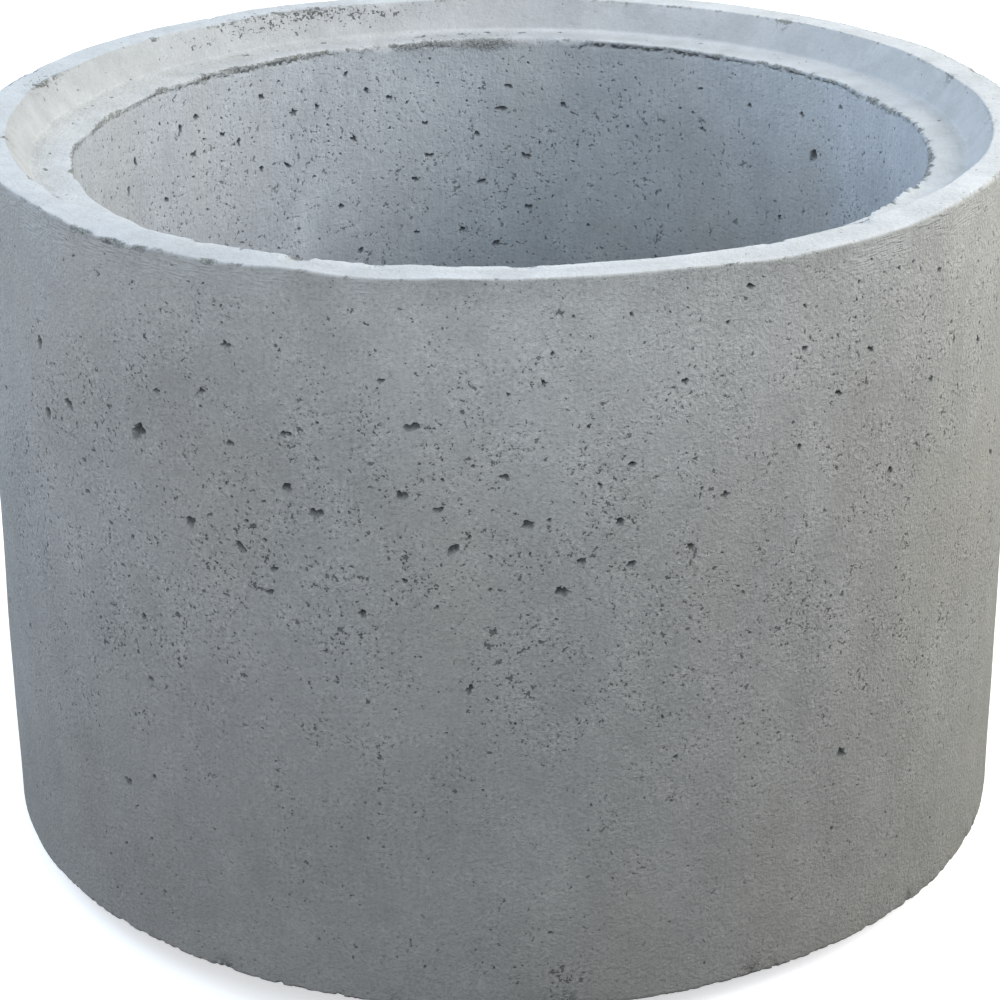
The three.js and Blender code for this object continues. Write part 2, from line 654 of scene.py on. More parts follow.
# Wear of the four corners that chip. Bearings and half widths are in degrees, reaches and depths in mm.
RIM_WEAR = EdgeWear(
    shift=Wave(lowest=2, highest=70, size=0.3, seed=21),
    rounding=Wave(lowest=2, highest=60, size=0.3, seed=23, fall=0.3),
    drawn_in=(Stretch(60, 9, 1, 3.2), Stretch(-58, 8, 1, 3)),
    sagging=(Stretch(-41, 8, 1, 3.4), Stretch(34, 16, 1, 2.4), Stretch(-29, 7, 1, 2.4),
             Stretch(-12, 6, 1, 1.5)),
    softened=(Stretch(-29, 13, 9, 0.6), Stretch(60, 9, 9, 1.2), Stretch(-150, 16, 9, 1.5)),
    nibbles=Nibbles(count=90, half_width=0.3, reach=1.8, bite=0.4, seed=24),
    dents=(
        Stretch(-45.4, 1.5, 3.4, 0.8), Stretch(-40.5, 1.3, 3.4, 0.9), Stretch(-36.9, 0.9, 3.2, 0.7),
        Stretch(-28.8, 0.7, 3.2, 0.8), Stretch(-109, 1.3, 5, 1.8), Stretch(106, 1.2, 5, 1.5),
        Stretch(164, 1.4, 6, 2), Stretch(-141, 1, 5, 1.4),
    ),
    crumbling=(
        Stretch(0, ALL_ROUND, 3, 0.22), Stretch(-64.5, 1.4, 3.2, 0.9), Stretch(-56.3, 1.2, 3.2, 0.9),
        Stretch(-53, 0.8, 2.8, 0.7), Stretch(-48.5, 1.4, 3, 0.8), Stretch(-45.2, 2.2, 4, 1.3),
        Stretch(-40.6, 2, 4.2, 1.4), Stretch(-36.8, 1.3, 4, 1.3), Stretch(-34.7, 0.9, 3.6, 1.1),
        Stretch(-32.4, 0.7, 3, 0.8), Stretch(-28.9, 1, 4, 1.3), Stretch(-25.8, 1.1, 3.6, 0.9),
        Stretch(-18.8, 0.8, 3, 0.7), Stretch(22, 1, 3, 0.9), Stretch(60, 9, 3, 0.6),
        Stretch(118, 30, 4, 0.8), Stretch(-106, 6, 4, 1.1), Stretch(-150, 12, 4, 0.6),
    ),
)
MOUTH_WEAR = EdgeWear(
    shift=Wave(lowest=5, highest=44, size=0.4, seed=31, fall=0.5),
    rounding=Wave(lowest=4, highest=60, size=0.5, seed=34),
    drawn_in=(Stretch(130, 16, 1, -2.4),),
    softened=(Stretch(-147, 25, 9, 6), Stretch(-104, 8, 9, 3)),
    nibbles=Nibbles(count=110, half_width=0.5, reach=2.2, bite=0.55, seed=35),
    dents=(
        Stretch(-20.3, 1.5, 4, 2.4), Stretch(-12.2, 1.7, 3.4, 1.5), Stretch(-4.9, 1.2, 3, 0.9),
        Stretch(2.2, 1.6, 3.4, 1.4), Stretch(28.8, 1.4, 3, 1), Stretch(40.6, 1.5, 3.4, 1.4),
        Stretch(-32, 1.2, 3, 1), Stretch(-80.6, 0.7, 4, 1.4), Stretch(139, 1.4, 4, 1.4),
    ),
    crumbling=(
        Stretch(0, ALL_ROUND, 2.4, 0.2), Stretch(-105.5, 5, 4.4, 1.1), Stretch(-152, 12, 4, 1),
        Stretch(83, 9, 3.6, 0.7), Stretch(-24, 2.4, 3, 0.5),
    ),
)
BORE_WEAR = EdgeWear(
    shift=Wave(lowest=4, highest=48, size=0.4, seed=41, fall=0.5),
    sagging=(
        Stretch(150, 55, 1, 2), Stretch(112, 9, 1, 4.6), Stretch(-162, 9, 1, 4.4),
        Stretch(-147, 28, 1, 3.6), Stretch(-114, 9, 1, 5.6), Stretch(-166, 22, 1, 3),
        Stretch(-126, 8, 1, 4.6), Stretch(-103, 14, 1, 4),
    ),
    drawn_in=(Stretch(-92, 22, 1, 2.2),),
    rounding=Wave(lowest=3, highest=90, size=0.6, seed=44),
    softened=(
        Stretch(-162.6, 2.2, 9, 6), Stretch(-176.5, 7.5, 9, 3.2),
        Stretch(177.6, 4, 9, 3.4), Stretch(173.4, 2.6, 9, 5.5), Stretch(168.6, 2.4, 9, 4.4),
        Stretch(114, 4, 9, 3.4), Stretch(-108, 5, 9, 1.6), Stretch(76, 10, 9, 3.4),
    ),
    nibbles=Nibbles(count=200, half_width=0.5, reach=2.8, bite=0.9, seed=45),
    dents=(
        Stretch(-137, 1.1, 5, 1.4), Stretch(-122, 1.4, 5, 1.2),
        Stretch(73, 1.2, 5, 1.8), Stretch(66, 1.4, 5, 2), Stretch(28, 2, 5, 2),
        Stretch(80, 0.9, 5, 1.6), Stretch(-34, 1.8, 5, 1.8), Stretch(-77, 1, 5, 1.4),
    ),
    crumbling=(
        Stretch(0, ALL_ROUND, 3, 0.4), Stretch(-84, 14, 4.4, 1.5), Stretch(-106, 9, 4, 1.3),
        Stretch(-141, 16, 4.2, 1.5), Stretch(-120, 10, 3.4, 0.9), Stretch(-178.5, 5, 6, 0.8),
        Stretch(-166, 4, 5, 0.8), Stretch(76, 11, 5.4, 1.4), Stretch(118, 24, 3.2, 1.1),
        Stretch(152, 16, 3.2, 1.2),
    ),
    past=2.6,
    lip=Wave(lowest=2, highest=60, size=0.5, seed=46, fall=0.4),
    undercuts=(
        Stretch(163.5, 6.2, 1, 2.4), Stretch(-139, 18, 1, 1.2), Stretch(-117, 6, 1, 0.9),
        Stretch(150, 9, 1, 1.5), Stretch(156.5, 4, 1, 2), Stretch(-171, 3, 1, 1),
        Stretch(130, 16, 1, 1.1),
    ),
    burrs=(
        Stretch(63, 2.6, 7, 3.4), Stretch(59.4, 1.7, 6, 2.9), Stretch(56.6, 1.6, 5.4, 2.4),
        Stretch(54, 1.5, 5, 1.5), Stretch(60, 7.5, 5, 1.3), Stretch(163, 6, 3, 0.7),
    ),
)
FOOT_WEAR = EdgeWear(
    rounding=Wave(lowest=3, highest=60, size=0.7, seed=53),
    nibbles=Nibbles(count=190, half_width=0.5, reach=3.2, bite=1.15, seed=54),
    dents=(Stretch(6, 1.6, 6, 2), Stretch(27, 1.4, 5, 0.9), Stretch(-31, 1.4, 6, 1.8),
           Stretch(140, 2.4, 9, 3), Stretch(-128, 1.8, 7, 2.4)),
    crumbling=(Stretch(0, ALL_ROUND, 4, 0.6),),
)


# ---- Pits left by air bubbles ----


@dataclass(frozen=True)
class Pit:
    """One pit: where it is, how wide and tall its mouth is, and how far the mouth is turned.

    `station` is a level on a wall and a radius on the ledge, and `height` runs the same way.
    """

    bearing: float  # degrees
    station: float
    width: float
    height: float
    turn: float = 0.0  # degrees


# The pits that anyone would pick out first.
WIDE_PITS: dict[Face, tuple[Pit, ...]] = {
    Face.OUTER: (
        Pit(-38.4, 466, 16, 11, 50), Pit(-32.1, 404, 7, 14, -10), Pit(-18.0, 430, 10, 8),
        Pit(-26.3, 394, 10, 7, -30), Pit(-8.5, 501, 11, 8, 20), Pit(-9.5, 449, 10, 7, -40),
        Pit(-4.7, 408, 12, 7, 35), Pit(2.4, 427, 12, 7, 5), Pit(5.7, 374, 12, 8), Pit(7.6, 397, 8, 6, 10),
        Pit(-27.0, 550, 9, 6), Pit(-49.2, 465, 9, 13, 15), Pit(-54.8, 501, 8, 13, -20),
        Pit(-53.9, 446, 9, 13), Pit(-53.0, 490, 8, 12), Pit(-30.0, 511, 7, 5), Pit(-11.5, 502, 6, 5),
        Pit(-21.0, 446, 8, 8), Pit(-23.3, 362, 7, 5, 30), Pit(-20.9, 488, 8, 5, -15), Pit(21.9, 437, 7, 6),
        Pit(-27.0, 475, 7, 5), Pit(17.5, 528, 6, 5), Pit(30.3, 539, 6, 5), Pit(42.4, 422, 6, 6),
        Pit(59.2, 488, 6, 8), Pit(65.6, 377, 6, 8), Pit(48.9, 565, 6, 5), Pit(-38.7, 262, 6, 5),
        Pit(-13.6, 354, 6, 6), Pit(37.2, 197, 12, 9, -20), Pit(-43.3, 161, 14, 6, 30), Pit(24.0, 596, 7, 5),
        Pit(48.4, 481, 6, 7), Pit(12.4, 392, 8, 6, 20), Pit(18.4, 400, 7, 6), Pit(-3.3, 297, 6, 8),
        Pit(34.7, 499, 7, 5), Pit(38.6, 526, 6, 6), Pit(12.4, 469, 7, 5),
    ),
    Face.BORE: (
        Pit(-145.8, 483, 11, 4, -45), Pit(-134.0, 528, 8, 5, -10), Pit(-111.8, 510, 5, 13, -15),
        Pit(-114.3, 532, 5, 9, 15), Pit(-113.0, 551, 5, 11), Pit(-157.6, 388, 7, 6),
        Pit(178.6, 543, 13, 4, -25), Pit(-147.0, 533, 9, 7, -20), Pit(-141.5, 553, 6, 8),
        Pit(-144.6, 547, 6, 7), Pit(-151.1, 535, 6, 5), Pit(-159.3, 547, 6, 6), Pit(-128.8, 550, 6, 8),
        Pit(179.6, 521, 11, 6), Pit(-168.5, 508, 6, 5), Pit(-137.0, 516, 5, 8), Pit(-125.4, 543, 6, 9),
        Pit(-111.5, 508, 5, 12, 10), Pit(-157.0, 501, 8, 6), Pit(-169.1, 476, 8, 6), Pit(175.9, 474, 10, 6),
        Pit(-166.8, 453, 7, 6), Pit(-177.2, 449, 8, 6), Pit(-154.6, 434, 6, 6), Pit(138.9, 542, 5, 5),
        Pit(132.6, 444, 6, 6), Pit(126.1, 511, 14, 10, 40), Pit(125.1, 497, 6, 7), Pit(128.8, 546, 6, 6),
        Pit(133.5, 460, 5, 6), Pit(-128.0, 517, 8, 7), Pit(-141.0, 485, 6, 6), Pit(-163.0, 538, 7, 5, -30),
        Pit(175.4, 424, 9, 6), Pit(-179.4, 386, 10, 6, 20), Pit(170.0, 528, 6, 6),
        Pit(175.0, 500, 8, 5, 30), Pit(120.5, 564, 6, 5), Pit(147.2, 513, 6, 5),
    ),
    Face.LEDGE: (
        Pit(-85.4, 368, 5, 3), Pit(-78.4, 372, 9, 4, 20), Pit(-109.4, 372, 5, 3),
        Pit(-114.1, 371, 6, 3, -20), Pit(-141.5, 374, 8, 5), Pit(-146.3, 369, 4, 3), Pit(-154.0, 372, 6, 5),
        Pit(-168.6, 367, 13, 6, 10), Pit(-174.6, 367, 8, 5), Pit(-178.4, 371, 9, 5, -10),
        Pit(176.6, 368, 9, 5), Pit(171.0, 371, 7, 4), Pit(149.6, 372, 5, 3), Pit(97.7, 375, 5, 3),
    ),
}


@dataclass(frozen=True)
class PitKind:
    """How seeded pits of one kind vary."""

    share: dict[Face, float]  # the part of the cells that have one, where the skin is as full as usual
    width: float  # the middle one's
    variety: float  # spread of the width's logarithm
    centre: tuple[float, float]  # where the centre may lie, in cells from the patch's first corner
    flattest: float  # least height as a share of the width
    turn: float  # radians to either side
    widest: float = math.inf

    def draw(self, rng: np.random.Generator, growth: float = 1.0) -> tuple[float, ...]:
        """Draws one pit.

        Args:
            rng: Where the draws come from.
            growth: Its size as a share of the usual one.

        Returns:
            Centre across and along in cells, width and height in millimetres, and turn in radians.
        """
        width = min(self.width * math.exp(rng.normal(0.0, self.variety)) * growth, self.widest)
        return (*rng.uniform(*self.centre, 2), width, width * rng.uniform(self.flattest, 1.0),
                rng.uniform(-self.turn, self.turn))


@dataclass
class Patches:
    """Pits that share a patch size: one row per pit. A patch covers block by block cells of the surface."""

    block: int
    row: Array
    column: Array
    centre: Array  # pits by 2, in cells from the patch's first corner
    width: Array
    height: Array
    turn: Array
    depth: Array


@dataclass
class PitBed:
    """Chooses where the pits go."""

    surface: Surface
    large: PitKind = PitKind(
        share={Face.OUTER: 0.028, Face.BORE: 0.025, Face.LEDGE: 0.0},
        width=5.6, variety=0.26, centre=(0.75, 1.25), flattest=0.45, turn=1.0)
    small: PitKind = PitKind(
        share={Face.OUTER: 0.19, Face.BORE: 0.22, Face.LEDGE: 0.05},
        width=3.1, variety=0.3, centre=(0.35, 0.65), flattest=0.5, turn=1.2, widest=5.0)
    room: tuple[float, float] = (0.6, 1.4)  # how far along a block of four cells a wide pit's centre may lie
    crowd: Span = Span(0.35, 1.0, 150.0, 320.0)  # share of the pits on the walls, by level
    growth: Span = Span(0.5, 1.0, 310.0, 390.0)  # size of large pits on the outer wall, by level
    swarming: float = 0.5  # how strongly the swarm crowds the pits
    density: tuple[float, float] = (0.1, 2.4)  # least and most
    depth: tuple[float, float] = (0.45, 0.8)  # as a share of the narrower width
    full_depth_to: float = 5.0  # pits wider than this are shallower for their width
    shallowest: float = 0.55
    seed: int = 5

    def choose(self) -> list[Patches]:
        """Places the wide pits first, then large ones on four cells each, then small ones in single cells.

        Returns:
            The large patches and the small ones.
        """
        rng = np.random.default_rng(self.seed)
        taken = np.zeros((len(self.surface.columns), Columns.COARSE.value), bool)
        large, small = [], []
        for face, pits in WIDE_PITS.items():
            for pit in pits:
                spot = self._block_at(face, pit)
                cells = self._cells(spot[0], spot[1])
                if not taken[cells].any():
                    taken[cells] = True
                    large.append((*spot, pit.width, pit.height, math.radians(pit.turn)))
        for face, (low, high) in self.surface.faces.items():
            density = self._density(face, low, high)
            rows, cols = np.nonzero(rng.random(density.shape) < self.large.share[face] * density)
            for row, col in zip(rows + low, cols):
                cells = self._cells(row, col)
                if row + 2 > high or taken[cells].any():
                    continue
                taken[cells] = True
                large.append((row, col, *self.large.draw(rng, self._growth(face, row))))
            chosen = rng.random(density.shape) < self.small.share[face] * density
            rows, cols = np.nonzero(chosen & ~taken[low:high])
            small += [(row, col, *self.small.draw(rng)) for row, col in zip(rows + low, cols)]
        return [self._patches(2, large, rng), self._patches(1, small, rng)]

    def _block_at(self, face: Face, pit: Pit) -> tuple[int, int, float, float]:
        """First row and column of the four cells round a pit, and its centre in them, in cells."""
        low, high = self.surface.faces[face]
        stations = self.surface.radius if face is Face.LEDGE else self.surface.level
        stations = stations[low:high + 1, 0]
        columns = Columns.COARSE.value
        along = (math.radians(pit.bearing) % TURN) * columns / TURN
        up = np.interp(pit.station, np.sort(stations), np.arange(stations.size))
        if stations[0] > stations[-1]:
            up = stations.size - 1 - up
        row, column = round(up) - 1 + low, round(along) - 1
        row = min(max(row, low), high - 2)
        return row, column % columns, along - column, float(np.clip(up + low - row, *self.room))

    @staticmethod
    def _cells(row: int, column: int) -> tuple[Array, Array]:
        """Indices of the four cells of a block."""
        columns = Columns.COARSE.value
        return np.ix_([row, row + 1], [column % columns, (column + 1) % columns])

    def _growth(self, face: Face, row: int) -> float:
        """Size of a large pit as a share of the usual one: they stay small low on the outer wall."""
        return float(self.growth.at(self.surface.level[row, 0])) if face is Face.OUTER else 1.0

    def _density(self, face: Face, low: int, high: int) -> Array:
        """Relative number of pits in each cell: more where the skin is open, and fewer near the foot."""
        level = self.surface.level[low:high, 0][:, None]
        clusters = self.surface.tones["swarm"][low:high, ::Columns.FINE.value // Columns.COARSE.value]
        crowd = 1.0 if face is Face.LEDGE else self.crowd.at(level)
        return np.clip(1.0 + self.swarming * clusters, *self.density) * crowd

    def _patches(self, block: int, pits: list[tuple], rng: np.random.Generator) -> Patches:
        """The chosen pits as arrays, each with a depth of its own."""
        table = np.array(pits, float)
        narrow = np.minimum(table[:, 4], table[:, 5])
        shallower = np.clip(self.full_depth_to / narrow, self.shallowest, 1.0)
        return Patches(
            block=block, row=table[:, 0].astype(int), column=table[:, 1].astype(int),
            centre=table[:, 2:4], width=table[:, 4], height=table[:, 5], turn=table[:, 6],
            depth=narrow * rng.uniform(*self.depth, narrow.size) * shallower,
        )


# ---- The mesh ----


@dataclass
class MeshParts:
    """Points, faces and point values, gathered as whole arrays before they go into one mesh."""

    points: list[Array] = field(default_factory=list)
    values: dict[str, list[Array]] = field(default_factory=dict)
    lips: list[Array] = field(default_factory=list)
    faces: list[Array] = field(default_factory=list)
    count: int = 0

    def add_points(self, points: Array, lip: bool, **values: Array) -> int:
        """Adds points in metres with their values.

        Args:
            points: Points by 3.
            lip: Whether they lie on a pit's sharp mouth.
            values: One array for each named value.

        Returns:
            The index of the first one.
        """
        first = self.count
        self.points.append(points)
        self.lips.append(np.full(len(points), lip))
        for name, value in values.items():
            value = np.ravel(value) if np.size(value) > 1 else value
            self.values.setdefault(name, []).append(np.broadcast_to(value, len(points)).astype(np.float32))
        self.count += len(points)
        return first

    def triangles(self) -> int:
        """How many triangles the faces come to."""
        return sum(len(f) * (f.shape[1] - 2) for f in self.faces)

    def to_object(self, name: str) -> bpy.types.Object:
        """Makes the mesh, without the points that no face uses, and marks the pits' mouths sharp."""
        points = np.concatenate(self.points)
        used = np.zeros(len(points), bool)
        for faces in self.faces:
            used[faces.ravel()] = True
        renumber = np.cumsum(used) - 1
        corners = np.concatenate([renumber[f].ravel() for f in self.faces]).astype(np.int32)
        sizes = np.concatenate([np.full(len(f), f.shape[1]) for f in self.faces])
        mesh = bpy.data.meshes.new(name)
        mesh.vertices.add(int(used.sum()))
        mesh.vertices.foreach_set("co", points[used].astype(np.float32).ravel())
        mesh.loops.add(len(corners))
        mesh.loops.foreach_set("vertex_index", corners)
        mesh.polygons.add(len(sizes))
        mesh.polygons.foreach_set("loop_start", (np.cumsum(sizes) - sizes).astype(np.int32))
        mesh.update(calc_edges=True)
        for value_name, arrays in self.values.items():
            attribute = mesh.attributes.new(value_name, "FLOAT", "POINT")
            attribute.data.foreach_set("value", np.concatenate(arrays)[used])
        edges = np.empty(len(mesh.edges) * 2, np.int32)
        mesh.edges.foreach_get("vertices", edges)
        sharp = np.concatenate(self.lips)[used][edges.reshape(-1, 2)].all(axis=1)
        mesh.attributes.new("sharp_edge", "BOOLEAN", "EDGE").data.foreach_set("value", sharp)
        mesh.polygons.foreach_set("use_smooth", np.ones(len(sizes), bool))
        if mesh.validate(verbose=False):
            raise RuntimeError(f"{name}: the mesh had faults")
        obj = bpy.data.objects.new(name, mesh)
        bpy.context.scene.collection.objects.link(obj)
        return obj


def points_at(bearing: Array, radius: Array, level: Array) -> Array:
    """Points in metres: (radius sin(bearing), -radius cos(bearing), level), so bearing 0 is at the front."""
    points = np.stack([radius * np.sin(bearing), -radius * np.cos(bearing), level * np.ones_like(radius)], -1)
    return points.reshape(-1, 3) * MM


@dataclass(frozen=True)
class PitShape:
    """How the pits are shaped."""

    sides: int = 8  # of the mouth, for each cell along the patch
    lobes: tuple[int, ...] = (2, 3, 4, 5, 6)  # waves round the mouth
    lobe: float = 0.26  # spread of the waves' heights, as a share of the mouth's reach
    ragged: float = 0.07  # the same for single points
    reach: tuple[float, float] = (0.45, 1.45)  # least and most reach, as a share of the ellipse's
    lean: float = 0.16  # how far the deepest point may lie to one side, as a share of the narrower width
    high: float = 0.24  # how far above the middle it lies, as a share of the same
    rings: tuple[tuple[float, float], ...] = ((1.0, 0.0), (0.85, 0.6), (0.5, 1.0))  # scale and share of depth
    rough: float = 0.22  # unevenness of a ring's depth
    hanging: float = 0.4  # how much deeper the upper part goes, and the lower part less
    bottom: float = 1.05  # depth of the deepest point, as a share of the pit's
    lit: float = 0.28  # how much less light reaches the upper part of a ring than its lower part
    seed: int = 70


@dataclass
class PitCutter:
    """Cuts pits of one patch size into the surface.

    Across a patch x runs along the bearing and y along the rows, in millimetres from the pit's centre, and
    the outward normal is the row direction turned by a quarter in the plane of the section.
    """

    parts: MeshParts
    surface: Surface
    starts: list[int]
    group: Patches
    shape: PitShape = PitShape()

    def __post_init__(self) -> None:
        """Reads the four corners of every patch off the surface, and the directions of its sides."""
        columns, group = Columns.COARSE.value, self.group
        step = Columns.FINE.value // columns
        block = group.block
        ends = ((0, 0), (0, block), (block, block), (block, 0))
        self.corners = [(group.row + a, (group.column * step + b * step) % Columns.FINE.value)
                        for a, b in ends]
        self.radius = self._at_corners(self.surface.radius)
        self.level = self._at_corners(self.surface.level)
        self.across = self.radius.mean(axis=1) * TURN / columns
        up = np.stack([self.radius, self.level])
        rows = (up[..., 2] + up[..., 3] - up[..., 0] - up[..., 1]) / 2.0
        self.along = np.hypot(*rows) / block
        self.out_radius, self.out_level = rows[1] / (self.along * block), -rows[0] / (self.along * block)
        self.rng = np.random.default_rng(block + self.shape.seed)

    def _at_corners(self, grid: Array) -> Array:
        """A grid's values at the four corners of every patch, pits by 4."""
        return np.stack([grid[row, column] for row, column in self.corners], axis=1)

    def cut(self) -> None:
        """Adds every pit's points and faces.

        A pit's mouth is an ellipse with an uneven edge: r(a) = 1 / hypot(cos(a) / half width, sin(a) /
        half height) times 1 + the sum over m of c * cos(m a + phase), with m over the lobes and seeded c.
        Rings inside a large one are the mouth shrunk towards the deepest point, which lies high in the pit
        as a rising bubble's does, and pushed in along the wall's normal. A small pit is a plain cone. The
        patch round the mouth stays flush.
        """
        group, shape, rng = self.group, self.shape, self.rng
        pits, sides = len(group.row), shape.sides * group.block
        angle = np.arange(sides) * TURN / sides - 0.75 * math.pi  # from the patch's first corner
        order = np.array(shape.lobes)
        lobes = rng.normal(0.0, shape.lobe, (pits, order.size)) / np.sqrt(order)
        phase = rng.uniform(0.0, TURN, (pits, order.size))
        ripple = 1.0 + np.einsum("pm,pms->ps", lobes, np.cos(order[None, :, None] * angle + phase[..., None]))
        ripple = np.clip(ripple + shape.ragged * rng.standard_normal((pits, sides)), *shape.reach)
        turned = angle[None, :] - group.turn[:, None]
        reach = ripple / np.hypot(np.cos(turned) / (0.5 * group.width[:, None]),
                                  np.sin(turned) / (0.5 * group.height[:, None]))
        narrow = np.minimum(group.width, group.height)[:, None]
        rising = self.out_radius[:, None]  # the rows climb on the outer wall and fall in the bore
        lean = rng.uniform(-shape.lean, shape.lean, (pits, 1)) * narrow
        high = shape.high * narrow * rising
        upper = np.sin(angle)[None, :] * rising
        first = []
        for scale, deep in shape.rings[:1 if group.block == 1 else None]:
            x = reach * np.cos(angle) * scale + lean * (1.0 - scale)
            y = reach * np.sin(angle) * scale + high * (1.0 - scale)
            rough = 1.0 + shape.rough * rng.standard_normal((pits, sides)) * (deep > 0.0)
            depth = group.depth[:, None] * deep * rough * (1.0 + shape.hanging * upper)
            first.append(self._add_points(x, y, depth, deep * (1.0 - shape.lit + shape.lit * upper)))
        middle = self._add_points(lean, high, group.depth[:, None] * shape.bottom, np.ones_like(lean))
        self._add_faces(first, middle, sides)

    def _add_points(self, x: Array, y: Array, depth: Array, shade: Array) -> int:
        """Adds points at x and y, pushed in by their depth, on the bilinear blend of the patch's corners."""
        group = self.group
        u = (group.centre[:, :1] + x / self.across[:, None]) / group.block
        v = (group.centre[:, 1:] + y / self.along[:, None]) / group.block
        weights = np.stack([(1 - u) * (1 - v), u * (1 - v), u * v, (1 - u) * v], axis=1)
        blend = {name: np.einsum("pks,pk->ps", weights, self._at_corners(grid))
                 for name, grid in self.surface.tones.items()}
        radius = np.einsum("pks,pk->ps", weights, self.radius) - self.out_radius[:, None] * depth
        level = np.einsum("pks,pk->ps", weights, self.level) - self.out_level[:, None] * depth
        bearing = (group.column[:, None] + u * group.block) * TURN / Columns.COARSE.value
        lip = bool(np.all(depth == 0.0))
        # The pit tone is painted shade, strongest at the deepest point.
        blend["pit"] = np.broadcast_to(shade, radius.shape)
        return self.parts.add_points(points_at(bearing, radius, level), lip, **blend)

    def _add_faces(self, rings: list[int], middle: int, sides: int) -> None:
        """Joins the patch's outline, the rings and the deepest point."""
        pit, s = np.arange(len(self.group.row))[:, None], np.arange(sides)
        outline = self._outline()
        k = np.arange(outline.shape[1])
        mouth = rings[0] + pit * sides
        collar = np.stack([outline[:, k], outline[:, (k + 1) % k.size], mouth + (2 * k + 2) % sides,
                           mouth + 2 * k + 1, mouth + 2 * k], axis=-1)
        self.parts.faces.append(collar.reshape(-1, 5))
        for outer, inner in zip(rings, rings[1:]):
            a, b = outer + pit * sides, inner + pit * sides
            around = np.stack([a + s, a + (s + 1) % sides, b + (s + 1) % sides, b + s], axis=-1)
            self.parts.faces.append(around.reshape(-1, 4))
        floor = rings[-1] + pit * sides
        fan = np.stack([floor + s, floor + (s + 1) % sides, middle + pit + 0 * s], axis=-1)
        self.parts.faces.append(fan.reshape(-1, 3))

    def _outline(self) -> Array:
        """Point indices of each patch's outline, anticlockwise from its first corner."""
        n = self.group.block
        walk = ([(0, b) for b in range(n)] + [(a, n) for a in range(n)]
                + [(n, b) for b in range(n, 0, -1)] + [(a, 0) for a in range(n, 0, -1)])
        start = np.array(self.starts)
        return np.stack([start[self.group.row + a] + (self.group.column + b) % Columns.COARSE.value
                         for a, b in walk], axis=1)


@dataclass
class CastRing:
    """The casting: the section's surface, its pits, and the concrete that dresses it."""

    section: RingSection
    finish: CastConcrete
    name: str = "cast_ring"

    def build(self) -> bpy.types.Object:
        """Builds the whole casting as one closed mesh at the origin.

        Returns:
            The finished object with its material.
        """
        surface = self.section.surface()
        patches = PitBed(surface).choose()
        parts = MeshParts()
        starts = self._add_rows(parts, surface)
        self._add_cells(parts, surface, starts, patches)
        for group in patches:
            PitCutter(parts, surface, starts, group).cut()
        ring = parts.to_object(self.name)
        ring.data.materials.append(self.finish.build())
        log.info("%s: %d pits, %d triangles", self.name, sum(len(p.row) for p in patches), parts.triangles())
        return ring

    @staticmethod
    def _add_rows(parts: MeshParts, surface: Surface) -> list[int]:
        """Adds every row's points, at its own count of columns, and returns where each row starts."""
        starts = []
        for i, columns in enumerate(surface.columns):
            pick = slice(None, None, Columns.FINE.value // columns.value)
            points = points_at(surface.bearing[pick], surface.radius[i, pick], surface.level[i, pick])
            tones = {name: grid[i, pick] for name, grid in surface.tones.items()}
            starts.append(parts.add_points(points, False, **tones))
        return starts

    @staticmethod
    def _add_cells(parts: MeshParts, surface: Surface, starts: list[int], patches: list[Patches]) -> None:
        """Adds the faces between neighbouring rows, apart from the cells that pits take.

        Rows with as many columns are joined by quads. Where one row has m times as many columns as the
        other, each coarse cell becomes one face with m extra points on its finer side.
        """
        taken = {(int(row) + a, int(column + b) % Columns.COARSE.value)
                 for group in patches
                 for row, column in zip(group.row, group.column)
                 for a in range(group.block) for b in range(group.block)}
        count = len(surface.columns)
        for i in range(count):
            k = (i + 1) % count
            here, above = surface.columns[i].value, surface.columns[k].value
            cells = min(here, above)
            j = np.arange(cells)
            lower = (j[:, None] * (here // cells) + np.arange(here // cells + 1)) % here + starts[i]
            upper = (j[:, None] * (above // cells) + np.arange(above // cells + 1)) % above + starts[k]
            faces = np.concatenate([lower, upper[:, ::-1]], axis=1)
            keep = np.array([(i, int(c)) not in taken for c in j])
            parts.faces.append(faces[keep])


# ---- Finishes ----


def srgb(code: str) -> tuple[float, float, float, float]:
    """An sRGB hex colour as linear red, green, blue and alpha.

    Args:
        code: Six hex digits.

    Returns:
        The linear colour.
    """
    parts = (int(code[i:i + 2], 16) / 255.0 for i in (0, 2, 4))
    linear = (c / 12.92 if c <= 0.04045 else ((c + 0.055) / 1.055) ** 2.4 for c in parts)
    return (*linear, 1.0)


@dataclass
class NodeSheet:
    """The empty node tree of a material or a world, and the one way that nodes are put on it."""

    tree: bpy.types.NodeTree

    @classmethod
    def of(cls, owner: bpy.types.Material | bpy.types.World) -> NodeSheet:
        """Clears the owner's tree."""
        owner.use_nodes = True
        owner.node_tree.nodes.clear()
        return cls(owner.node_tree)

    def add(self, kind: str, inputs: dict | None = None, out: int | str = 0, **settings) -> Socket | None:
        """Adds one node with its settings, and fills its inputs.

        Args:
            kind: The node's type, without the ShaderNode that all of them start with.
            inputs: Socket name or number to a value, or to the output socket that feeds it.
            out: The output that is handed back.
            settings: The node's own properties.

        Returns:
            The output socket, or None from a node that has none.
        """
        node = self.tree.nodes.new("ShaderNode" + kind)
        for name, value in settings.items():
            setattr(node, name, value)
        for key, value in (inputs or {}).items():
            if isinstance(value, Socket):
                self.tree.links.new(value, node.inputs[key])
            else:
                node.inputs[key].default_value = value
        return node.outputs[out] if len(node.outputs) else None


# A Mix node for colours: the inputs that it uses, and how it is set up and read.
FACTOR, A, B = 0, 6, 7
OF_COLOURS = {"out": 2, "data_type": "RGBA"}

# What the mesh's points hold for the finish. RingSection works it out.
TONES = ("worn", "pit", "trowelled", "pale", "open", "cloud", "warmth", "swarm")


